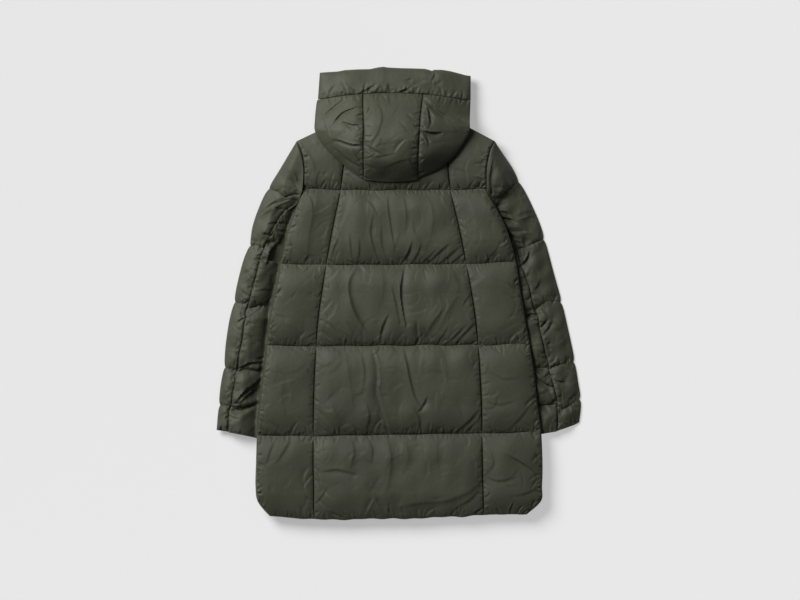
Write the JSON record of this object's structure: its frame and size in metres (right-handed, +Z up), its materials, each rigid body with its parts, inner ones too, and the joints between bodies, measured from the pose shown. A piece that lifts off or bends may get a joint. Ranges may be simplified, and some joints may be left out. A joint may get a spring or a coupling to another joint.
{
  "type": "long puffer coat",
  "caption": "Long quilted puffer coat with a padded hood, laid flat and face down with the hood folded back over the yoke.",
  "frame": {"origin": "middle of the coat's plan on the surface that it lies on", "axes": "+X to the wearer's right, +Y from the hem to the hood, +Z up from the surface, out of the coat's back"},
  "size_m": [0.767, 0.9547, 0.0844],
  "materials": {
    "shell": "olive satin nylon, down filled",
    "zip_tape": "woven tape with moulded teeth",
    "zip_metal": "dark satin metal"
  },
  "bodies": {
    "coat": {"back_center": "shell", "back_side_left": "shell", "back_side_right": "shell", "front_left": "shell", "front_right": "shell", "sleeve_left_upper": "shell", "sleeve_left_under": "shell", "sleeve_right_upper": "shell", "sleeve_right_under": "shell", "hood_center": "shell", "hood_side_left": "shell", "hood_side_right": "shell", "hood_brim": "shell", "collar_left": "shell", "collar_right": "shell", "zip": "zip_tape", "zip_slider": "zip_metal"},
    "pull": {"zip_pull": "zip_metal"}
  },
  "joints": [
    {"name": "pull_hinge", "type": "hinge", "parent": "coat", "child": "pull", "pos_m": [0, 0.436, 0.0109], "axis": [1, 0, 0], "range_deg": [-18, 130]}
  ]
}
